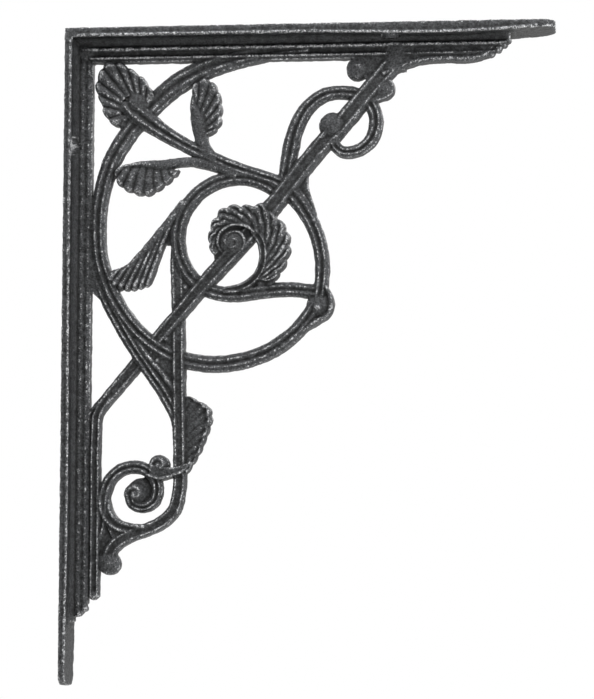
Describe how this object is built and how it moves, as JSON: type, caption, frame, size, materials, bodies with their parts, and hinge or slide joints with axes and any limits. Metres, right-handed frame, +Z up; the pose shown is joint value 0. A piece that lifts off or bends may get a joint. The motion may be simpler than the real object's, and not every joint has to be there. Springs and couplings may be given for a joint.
{
  "type": "shelf bracket",
  "caption": "Right-angled cast-iron shelf bracket with a wall plate, a shelf plate and open scrollwork with leaves in the angle.",
  "frame": {"origin": "on the wall face, on its centreline, level with the upper screw holes and 55 mm below the shelf face", "axes": "+X out from the wall, +Z up, +Y across the plates; the casting is the same on both sides of the plane Y = 0"},
  "size_m": [0.228, 0.024, 0.305],
  "materials": {
    "iron": "sand-cast, black-leaded, worn bright on the ridges"
  },
  "bodies": {
    "root": {"bracket": "iron"}
  },
  "joints": []
}
